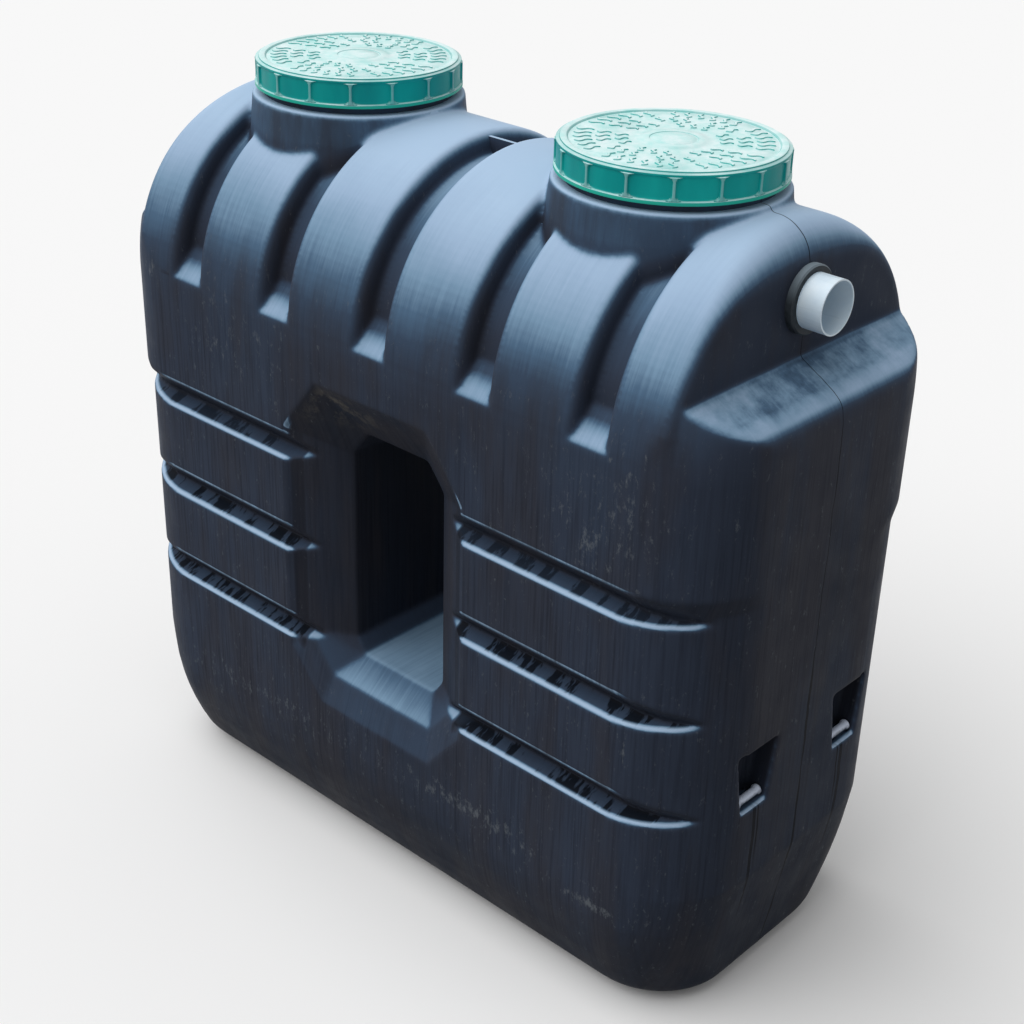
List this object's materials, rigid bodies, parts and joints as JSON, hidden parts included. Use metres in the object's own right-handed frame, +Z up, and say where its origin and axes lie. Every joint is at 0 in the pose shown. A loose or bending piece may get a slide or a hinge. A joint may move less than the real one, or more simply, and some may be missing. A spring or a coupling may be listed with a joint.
{
  "type": "septic tank",
  "caption": "Upright two-chamber moulded septic tank with a window through its middle, ribbed half-round roof, two screw lids and a pipe stub at each end.",
  "frame": {"origin": "centre of the base, on the floor", "axes": "+X along the tank towards the outlet end, +Y towards the back, +Z up"},
  "size_m": [1.794, 0.802, 1.81],
  "materials": {
    "tank_black": "matte",
    "lid_green": "satin",
    "pipe_grey": "satin",
    "rubber": "matte"
  },
  "bodies": {
    "tank": {"tank_floor": "tank_black", "left_end_wall": "tank_black", "right_end_wall": "tank_black", "front_wall_left": "tank_black", "front_wall_right": "tank_black", "front_wall_over_window": "tank_black", "front_wall_under_window": "tank_black", "back_wall_left": "tank_black", "back_wall_right": "tank_black", "back_wall_over_window": "tank_black", "back_wall_under_window": "tank_black", "window_sill": "tank_black", "window_head": "tank_black", "window_jambs": "tank_black", "roof_rib_1": "tank_black", "roof_rib_2": "tank_black", "roof_rib_3": "tank_black", "roof_rib_4": "tank_black", "roof_rib_5": "tank_black", "roof_rib_6": "tank_black", "roof_groove_1": "tank_black", "roof_groove_2": "tank_black", "roof_groove_3": "tank_black", "roof_groove_4": "tank_black", "roof_groove_5": "tank_black", "left_roof_end": "tank_black", "right_roof_end": "tank_black", "left_shelf": "tank_black", "right_shelf": "tank_black", "left_neck": "tank_black", "right_neck": "tank_black", "left_collar": "tank_black", "right_collar": "tank_black", "inlet_pipe": "pipe_grey", "outlet_pipe": "pipe_grey", "inlet_seal": "rubber", "outlet_seal": "rubber", "left_anchor_bars": "tank_black", "right_anchor_bars": "tank_black"},
    "left_gasket_ring": {"left_gasket": "rubber"},
    "right_gasket_ring": {"right_gasket": "rubber"},
    "left_lid_cap": {"left_lid_top": "lid_green", "left_lid_skirt": "lid_green"},
    "right_lid_cap": {"right_lid_top": "lid_green", "right_lid_skirt": "lid_green"}
  },
  "joints": [
    {"name": "left_lid_rise", "type": "slide", "parent": "tank", "child": "left_gasket_ring", "axis": [0, 0, 1], "range_m": [0, 0.018]},
    {"name": "left_lid_turn", "type": "hinge", "parent": "left_gasket_ring", "child": "left_lid_cap", "pos_m": [-0.447, 0, 1.8], "axis": [0, 0, 1], "range_deg": [0, 540]},
    {"name": "right_lid_rise", "type": "slide", "parent": "tank", "child": "right_gasket_ring", "axis": [0, 0, 1], "range_m": [0, 0.018]},
    {"name": "right_lid_turn", "type": "hinge", "parent": "right_gasket_ring", "child": "right_lid_cap", "pos_m": [0.447, 0, 1.8], "axis": [0, 0, 1], "range_deg": [0, 540]}
  ],
  "couplings": [
    {"joint": "left_lid_rise", "follows": "left_lid_turn", "m_per_rad": 0.0019},
    {"joint": "right_lid_rise", "follows": "right_lid_turn", "m_per_rad": 0.0019}
  ]
}
